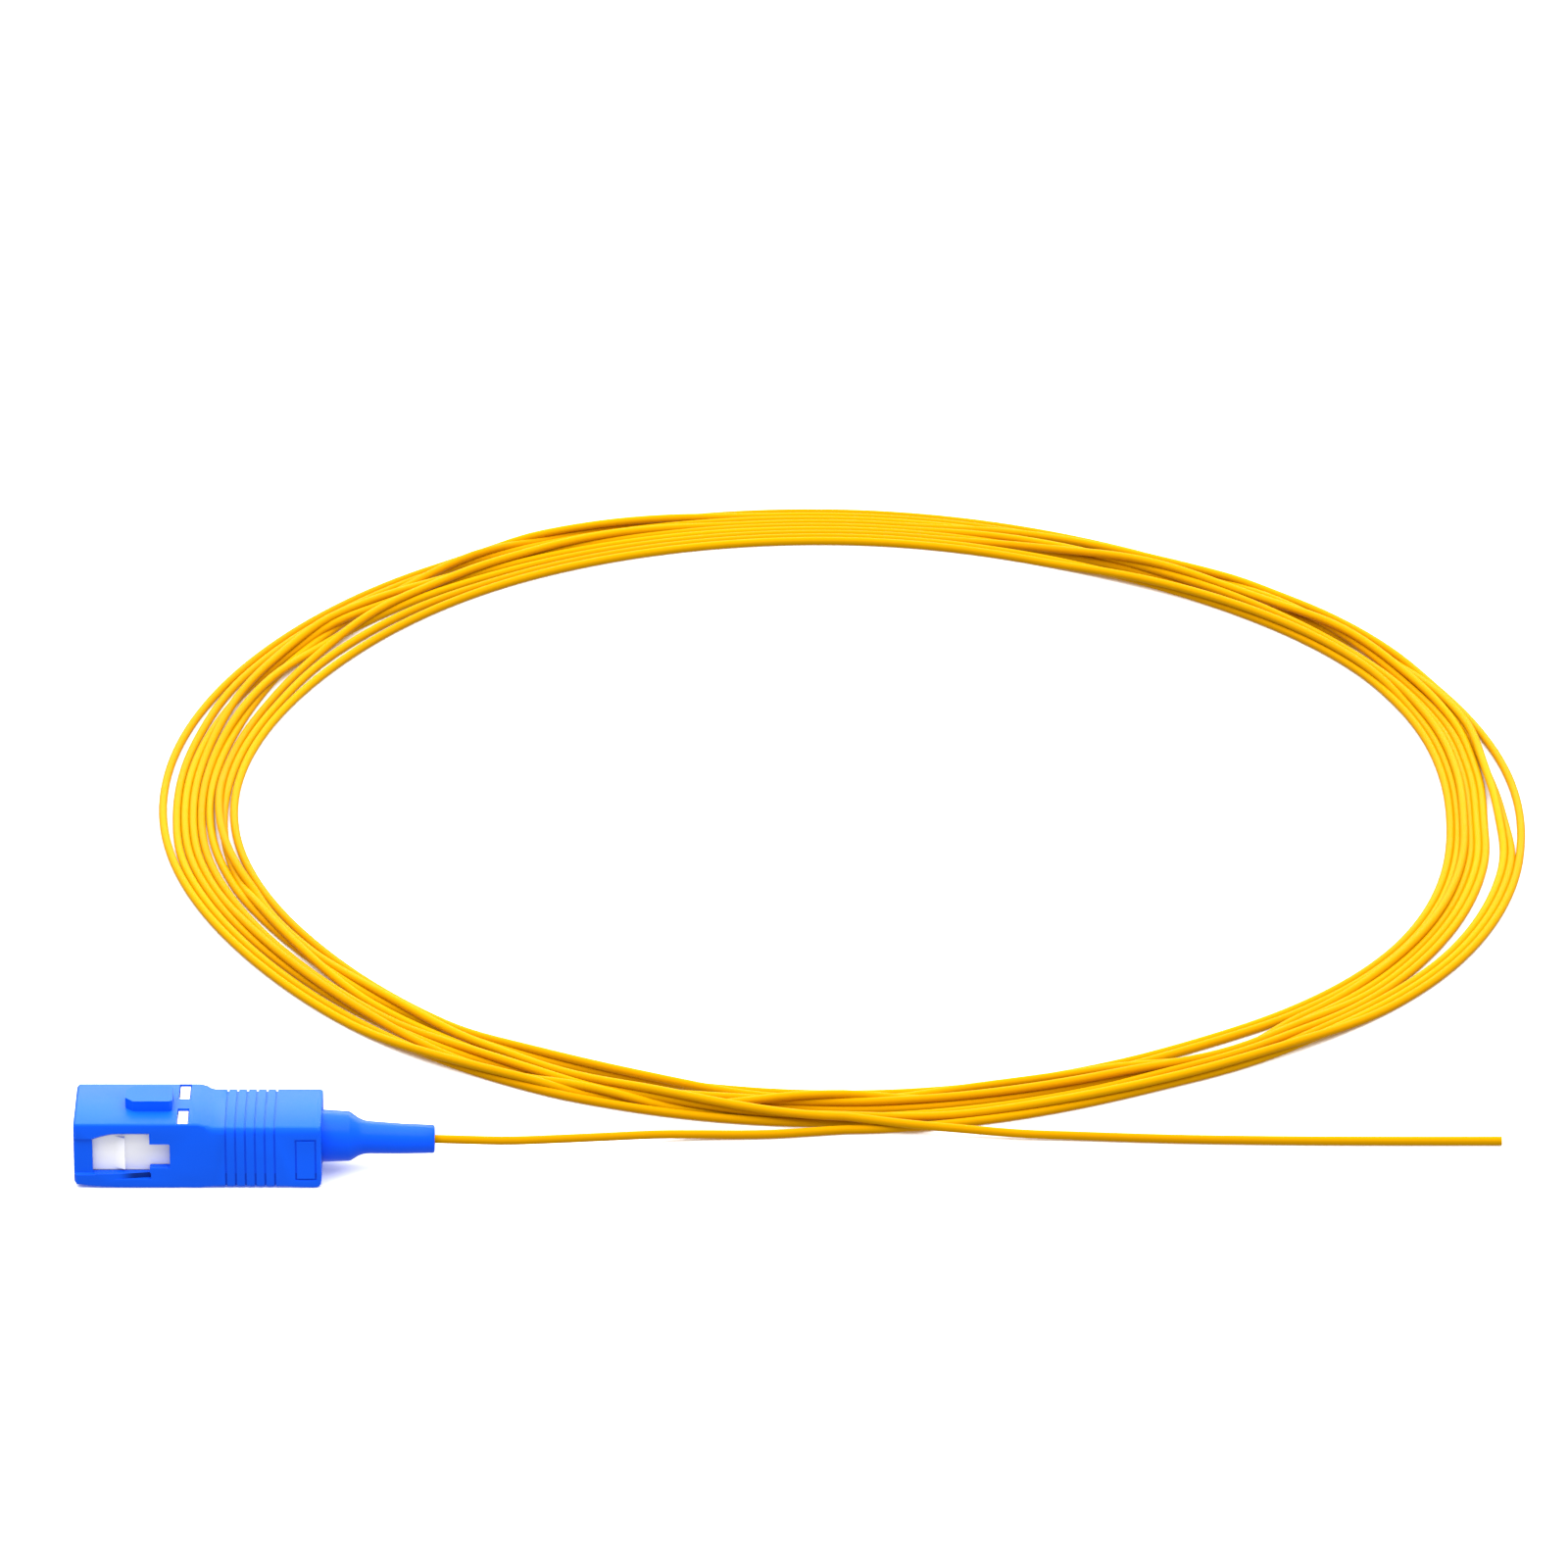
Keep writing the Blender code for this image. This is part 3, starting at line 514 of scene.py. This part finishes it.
def sagged(mesh):
    """Lets the boot's mesh sag and fill out, as soft plastic does.

    Each point drops by the sag times 1 less the square of its share of the way that is left to the tip. Its
    distance from the axis grows in proportion along the thin tube, except in the bore.
    """
    point = np.empty(len(mesh.vertices) * 3)
    mesh.vertices.foreach_get("co", point)
    point = point.reshape(-1, 3)
    along = np.clip((point[:, 0] - SAG_START) / (BOOT_TIP.x - SAG_START), 0.0, 1.0)
    fuller = TUBE_SWELL * np.clip((point[:, 0] - TUBE_START) / (TUBE_FULL - TUBE_START), 0.0, 1.0)
    away = point[:, 1:] - np.array((0.0, AXIS_Z))
    outside = np.hypot(away[:, 0], away[:, 1]) > BORE_REACH
    point[:, 1:] += away * (fuller * outside)[:, None]
    point[:, 2] -= SAG * (1.0 - (1.0 - along) ** 2)
    mesh.vertices.foreach_set("co", point.ravel())
    mesh.update()


def read_curve(values, where):
    """Reads a Catmull-Rom curve through evenly spaced values at fractional places, whole arrays at once.

    Between two values, with t from 0 to 1, a cubic leaves each value in the direction of the line between
    that value's two neighbours; past an end the last value is repeated.
    """
    last = len(values) - 1
    low = np.clip(np.floor(where).astype(int), 0, last - 1)
    t = where - low
    if values.ndim > 1:
        t = t[:, None]
    a, b = values[np.maximum(low - 1, 0)], values[low]
    c, d = values[low + 1], values[np.minimum(low + 2, last)]
    square = 2 * a - 5 * b + 4 * c - d
    cube = 3 * b - a - 3 * c + d
    return (2 * b + (c - a) * t + square * t**2 + cube * t**3) / 2


def even_steps(points, spacing):
    """The same line in steps of even length: distance along it is read back as a place between its points."""
    run = np.concatenate([[0.0], np.cumsum(np.linalg.norm(np.diff(points, axis=0), axis=1))])
    wanted = np.linspace(0.0, run[-1], max(2, round(run[-1] / spacing) + 1))
    return np.column_stack([np.interp(wanted, run, points[:, axis]) for axis in range(3)])


def smoothed(values, reach):
    """Mean of the values under a raised cosine that reaches that many steps to each side; ends repeat."""
    weights = np.hanning(2 * reach + 3)[1:-1]
    padded = np.concatenate([np.full(reach, values[0]), values, np.full(reach, values[-1])])
    return np.convolve(padded, weights / weights.sum(), "valid")


def by_turn():
    """Place along the coil of each step of each turn, one row a turn, so that a column is one angle."""
    return np.arange(STEPS_PER_TURN + 1)[None, :] + STEPS_PER_TURN * np.arange(TURNS)[:, None]


def coil_lanes(angle):
    """Lane of the strand at each angle, from 0 at the ring's inner edge to the number of turns less 1.

    The strand wanders by a sum of slow sines, plus a push outwards near both of its ends. At each angle the
    turns are ranked by their wander, so that each has a lane of its own and they cross one at a time.
    """
    read_at = np.interp(angle % 360.0, LANE_STATIONS, LANE_READ_AT) + angle - angle % 360.0
    wander = sum(size * np.sin(np.radians(read_at * rate + start)) for size, rate, start in WANDER)
    for end in (read_at[0], read_at[-1]):
        wander += END_PUSH * np.exp(-(((read_at - end) / END_PUSH_REACH) ** 2))
    place = by_turn()
    lane = np.empty(len(angle))
    lane[place] = np.argsort(np.argsort(wander[place], axis=0), axis=0)
    lane[-1] = TURNS - 1
    return smoothed(lane, LANE_SMOOTHING)


def coil_radius(angle):
    """Radius in metres that the strand is laid at, for each angle in degrees from the start of the coil.

    The ring's outer and inner edges are read from their stations. The strand lies at its lane's share of
    the width that the daylight leaves, plus the daylight that opens below its lane. Daylight fades towards
    both ends of its spread, and a strand that changes lanes crosses it in a smooth step.
    """
    station = angle * len(COIL_OUTER_MM) / 360.0
    outer = read_curve(np.tile(COIL_OUTER_MM, TURNS + 1), station)
    inner = read_curve(np.tile(COIL_INNER_MM, TURNS + 1), station)
    lane = coil_lanes(angle)
    opened = np.zeros_like(angle)
    passed = np.zeros_like(angle)
    margin = 0.2
    for middle, spread, below, width in DAYLIGHT:
        off = (angle + FRONT_ANGLE - middle + 180.0) % 360.0 - 180.0
        here = width * np.maximum(0.0, 1.0 - (off / spread) ** 4) ** 2
        rise = np.clip((lane - below - margin) / (1.0 - 2.0 * margin), 0.0, 1.0)
        opened += here
        passed += here * rise**2 * (3 - 2 * rise)
    laid = inner + (outer - inner - opened) * lane / (TURNS - 1) + passed
    return smoothed(laid, RADIUS_SMOOTHING) * MM


def settled_coil(laid, diameter):
    """Radius and height of the strand at each step of the coil, once it has sunk onto the floor.

    The coil starts as a screw that climbs by one diameter a turn, clear of itself. Then, over and over, it
    sinks a little, and wherever two turns at one angle are nearer than a diameter, both are pushed apart
    along the line between them. It is held near the radius that it was laid at, and kept smooth, as a stiff
    fibre is.
    """
    place = by_turn()
    others = 1.0 - np.eye(TURNS)[:, :, None]
    lowest = diameter / 2 + FLOOR_GAP
    sink, share, hold = 0.01 * MM, 0.45, 0.75
    radius = laid.copy()
    height = diameter * (0.5 + np.arange(len(laid)) / STEPS_PER_TURN)
    for _ in range(SETTLING_ROUNDS):
        height -= sink
        along = radius[place][:, None] - radius[place][None]
        above = height[place][:, None] - height[place][None]
        apart = np.hypot(along, above) + 0.001 * MM
        push = others * share * np.maximum(0.0, diameter - apart) / apart
        np.add.at(radius, place, (push * along).sum(axis=1))
        np.add.at(height, place, (push * above).sum(axis=1))
        radius = laid + smoothed((radius - laid) * hold, 1)
        height = np.maximum(smoothed(height, 1), lowest)
    return radius, height


def wound_path(diameter):
    """Middle line of the whole fibre in metres: out of the boot, round the coil, and on to the bare end."""
    low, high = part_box("fibre_coil")
    centre = (low + high) / 2
    angle = np.linspace(0.0, 360.0 * TURNS, STEPS_PER_TURN * TURNS + 1)
    radius, height = settled_coil(coil_radius(angle), diameter)
    turn = np.radians(angle + FRONT_ANGLE)
    coil = np.column_stack([centre.x + radius * np.cos(turn), centre.y + radius * np.sin(turn), height])
    lead = np.array(LEAD_ROUTE_MM + LEAD_JOIN_MM) * MM
    tail = np.array(TAIL_JOIN_MM + TAIL_ROUTE_MM) * MM
    ahead = 5
    into = np.vstack([lead, coil[0], coil[ahead]])
    out = np.vstack([coil[-1 - ahead], coil[-1], tail])
    fineness = 40
    start = read_curve(into, np.linspace(0, len(into) - 2, fineness * (len(into) - 2) + 1))
    end = read_curve(out, np.linspace(1, len(out) - 1, fineness * (len(out) - 2) + 1))
    start = even_steps(start, FIBRE_SPACING)
    end = even_steps(end, FIBRE_SPACING)
    return np.vstack([start[:-1], coil, end[1:]])


def swept_tube(name, path, radius, core, sides):
    """Closed round tube along a path, with a small disc for the coated fibre in its last end.

    Each ring is the path's point plus the radius times the cosine of its angle sideways and the sine
    upwards, where sideways is level and square to the path, and upwards is square to both. The UV map
    "along" holds the distance from the start in metres, and the turn round the tube from 0 to 1.
    """
    tangent = np.gradient(path, axis=0)
    tangent /= np.linalg.norm(tangent, axis=1)[:, None]
    sideways = np.cross(tangent, (0.0, 0.0, 1.0))
    sideways /= np.linalg.norm(sideways, axis=1)[:, None]
    upwards = np.cross(sideways, tangent)
    angle = 2 * np.pi * np.arange(sides) / sides
    across = np.cos(angle)[None, :, None] * sideways[:, None, :]
    circle = across + np.sin(angle)[None, :, None] * upwards[:, None, :]
    rings = path[:, None, :] + radius * circle
    hole = path[-1] + core * circle[-1]
    points = np.vstack([rings.reshape(-1, 3), hole])
    ring = np.arange(len(path))[:, None] * sides
    side = np.arange(sides)[None, :]
    after = (side + 1) % sides
    quads = np.stack([ring + side, ring + sides + side, ring + sides + after, ring + after], axis=-1)
    ends = [list(range(sides)), list(range(len(points) - sides, len(points)))]
    mesh = bpy.data.meshes.new(name)
    mesh.from_pydata(points.tolist(), [], quads.reshape(-1, 4).tolist() + ends)
    shape = bmesh.new()
    shape.from_mesh(mesh)
    bmesh.ops.recalc_face_normals(shape, faces=shape.faces)
    shape.to_mesh(mesh)
    shape.free()
    mesh.polygons[-1].material_index = 1
    mesh.shade_smooth()
    mesh.set_sharp_from_angle(angle=math.radians(50))
    corner = np.empty(len(mesh.loops), int)
    mesh.loops.foreach_get("vertex_index", corner)
    run = np.concatenate([[0.0], np.cumsum(np.linalg.norm(np.diff(path, axis=0), axis=1))])
    run = np.append(run, run[-1])
    around = (corner % sides).astype(float)
    on_quads = around[: quads.size].reshape(-1, 4)
    on_quads[(on_quads.max(axis=1) == sides - 1)[:, None] & (on_quads == 0)] = sides
    layer = mesh.uv_layers.new(name="along")
    layer.uv.foreach_set("vector", np.column_stack([run[corner // sides], around / sides]).ravel())
    return mesh


class PIGTAIL_OT_wind_fibre(bpy.types.Operator):
    """Winds the yellow fibre from the boot, round the coil, to its bare end"""

    bl_idname = "pigtail.wind_fibre"
    bl_label = "Wind the fibre"

    def execute(self, context):
        settings = context.scene.pigtail_fibre
        path = wound_path(settings.diameter)
        buffer = yellow_buffer("yellow_buffer_extruded", settings.colour, settings.deep_colour)
        core = glass_core("coated_fibre_end")
        mesh = swept_tube("fibre", path, settings.diameter / 2, settings.core / 2, settings.sides)
        fibre = link("fibre", mesh, [buffer, core])
        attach(fibre, "plug")
        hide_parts("fibre_lead", "fibre_coil", "fibre_tail")
        return {"FINISHED"}


class PIGTAIL_OT_dress_housing(bpy.types.Operator):
    """Rounds the housing's edges and gives it its blue moulded plastic"""

    bl_idname = "pigtail.dress_housing"
    bl_label = "Dress the housing"

    def execute(self, context):
        settings = context.scene.pigtail_plastic
        blue = moulded_plastic("blue_plastic_moulded", settings.housing_colour, roughness=0.42, level=0.09)
        dress("outer_housing", "grip_sleeve", blue, settings.edge)
        return {"FINISHED"}


class PIGTAIL_OT_dress_plug_frame(bpy.types.Operator):
    """Gives the inner frame its white moulded plastic"""

    bl_idname = "pigtail.dress_plug_frame"
    bl_label = "Dress the plug frame"

    def execute(self, context):
        settings = context.scene.pigtail_plastic
        white = moulded_plastic("white_plastic_moulded", settings.frame_colour, roughness=0.4, level=0.4)
        dress("plug_frame", "inner_frame", white, settings.edge)
        return {"FINISHED"}


class PIGTAIL_OT_dress_boot(bpy.types.Operator):
    """Gives the boot its soft blue plastic"""

    bl_idname = "pigtail.dress_boot"
    bl_label = "Dress the boot"

    def execute(self, context):
        settings = context.scene.pigtail_plastic
        colour = settings.boot_colour
        soft = moulded_plastic("soft_blue_moulded", colour, roughness=0.3, level=0.09, grain=1800.0)
        boot = dress("boot", "soft_boot", soft, smooth_below=40.0)
        sagged(boot.data)
        return {"FINISHED"}


class PIGTAIL_OT_dress_ferrule(bpy.types.Operator):
    """Gives the ferrule its ceramic, and the flange, the stop ring and the spring their metals"""

    bl_idname = "pigtail.dress_ferrule"
    bl_label = "Dress the ferrule and metals"

    def execute(self, context):
        settings = context.scene.pigtail_metal
        ceramic = polished_ceramic("zirconia_polished", settings.ceramic_colour)
        nickel = turned_metal("nickel_turned", settings.nickel_colour, roughness=0.26)
        steel = turned_metal("spring_wire_drawn", settings.steel_colour, roughness=0.3)
        dress("ferrule", "ceramic_ferrule", ceramic)
        dress("ferrule_flange", "nickel_flange", nickel)
        dress("stop_ring", "nickel_stop_ring", nickel)
        spring = dress("spring", "wound_spring", steel)
        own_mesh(spring)
        return {"FINISHED"}


def add_lamp(name, place, aim, power, width, height):
    """Rectangular lamp at a place, turned towards its aim."""
    data = bpy.data.lights.new(name, "AREA")
    data.shape = "RECTANGLE"
    data.size = width
    data.size_y = height
    data.energy = power
    made = bpy.data.objects.new(name, data)
    bpy.context.scene.collection.objects.link(made)
    made.location = place
    made.rotation_euler = (Vector(aim) - Vector(place)).to_track_quat("-Z", "Y").to_euler()
    return made


class PIGTAIL_OT_set_stage(bpy.types.Operator):
    """Lays the pale floor, hangs the soft lamps and places the camera"""

    bl_idname = "pigtail.set_stage"
    bl_label = "Set the stage"

    def execute(self, context):
        settings = context.scene.pigtail_stage
        mesh = bpy.data.meshes.new("floor")
        corners = [(FLOOR_HALF * x, FLOOR_HALF * y, 0.0) for x, y in ((-1, -1), (1, -1), (1, 1), (-1, 1))]
        mesh.from_pydata(corners, [], [(0, 1, 2, 3)])
        floor = link("floor", mesh, [floor_finish("floor_matt", settings.floor_colour)])
        # From below, the pieces then get the sky's light and not the floor's
        floor.visible_glossy = False
        floor.visible_diffuse = False
        low, high = cad_box
        middle = (low + high) / 2
        add_lamp("softbox", (middle.x, middle.y, 1.6), middle, settings.softbox, width=3.0, height=2.6)
        add_lamp("back_card", (middle.x, 1.9, 0.95), middle, settings.card, width=3.0, height=1.2)
        world = bpy.data.worlds.new("studio")
        world.use_nodes = True
        sky = world.node_tree.nodes["Background"]
        sky.inputs["Color"].default_value = (1.0, 1.0, 1.0, 1.0)
        sky.inputs["Strength"].default_value = settings.sky
        context.scene.world = world
        context.scene.view_settings.view_transform = "Standard"
        forward = Vector((0.0, math.cos(settings.elevation), -math.sin(settings.elevation)))
        upward = Vector((0.0, math.sin(settings.elevation), math.cos(settings.elevation)))
        aim = AIM + upward * AIM_LIFT
        data = bpy.data.cameras.new("camera")
        data.lens = settings.lens
        data.sensor_width = 36.0
        camera = bpy.data.objects.new("camera", data)
        context.scene.collection.objects.link(camera)
        camera.location = aim - forward * settings.reach
        camera.rotation_euler = (math.pi / 2 - settings.elevation, 0.0, 0.0)
        context.scene.camera = camera
        return {"FINISHED"}


class PIGTAIL_PT_panel(bpy.types.Panel):
    """Pigtail's sizes, colours and pieces, in the 3D view's sidebar"""

    bl_idname = "PIGTAIL_PT_panel"
    bl_label = "Fibre Optic Pigtail"
    bl_space_type = "VIEW_3D"
    bl_region_type = "UI"
    bl_category = "Pigtail"

    def draw(self, context):
        layout = self.layout
        for group in SETTINGS:
            column = layout.column(align=True)
            settings = getattr(context.scene, group)
            for name in settings.__annotations__:
                column.prop(settings, name)
        for piece in PIECES:
            layout.operator(piece.bl_idname)


SETTINGS = {
    "pigtail_fibre": FibreSettings,
    "pigtail_plastic": PlasticSettings,
    "pigtail_metal": MetalSettings,
    "pigtail_stage": StageSettings,
}
PIECES = (
    PIGTAIL_OT_set_stage,
    PIGTAIL_OT_wind_fibre,
    PIGTAIL_OT_dress_housing,
    PIGTAIL_OT_dress_plug_frame,
    PIGTAIL_OT_dress_boot,
    PIGTAIL_OT_dress_ferrule,
)


def register():
    """Registers the settings, the operators and the panel."""
    for name, group in SETTINGS.items():
        bpy.utils.register_class(group)
        setattr(bpy.types.Scene, name, PointerProperty(type=group))
    for made in PIECES + (PIGTAIL_PT_panel,):
        bpy.utils.register_class(made)


def unregister():
    """Takes back what register() did."""
    for made in (PIGTAIL_PT_panel,) + PIECES[::-1]:
        bpy.utils.unregister_class(made)
    for name, group in SETTINGS.items():
        delattr(bpy.types.Scene, name)
        bpy.utils.unregister_class(group)


def main():
    """Makes every piece and the stage."""
    register()
    bpy.ops.pigtail.set_stage()
    bpy.ops.pigtail.wind_fibre()
    bpy.ops.pigtail.dress_housing()
    bpy.ops.pigtail.dress_plug_frame()
    bpy.ops.pigtail.dress_boot()
    bpy.ops.pigtail.dress_ferrule()
    bpy.context.view_layer.update()


if __name__ == "__main__":
    main()
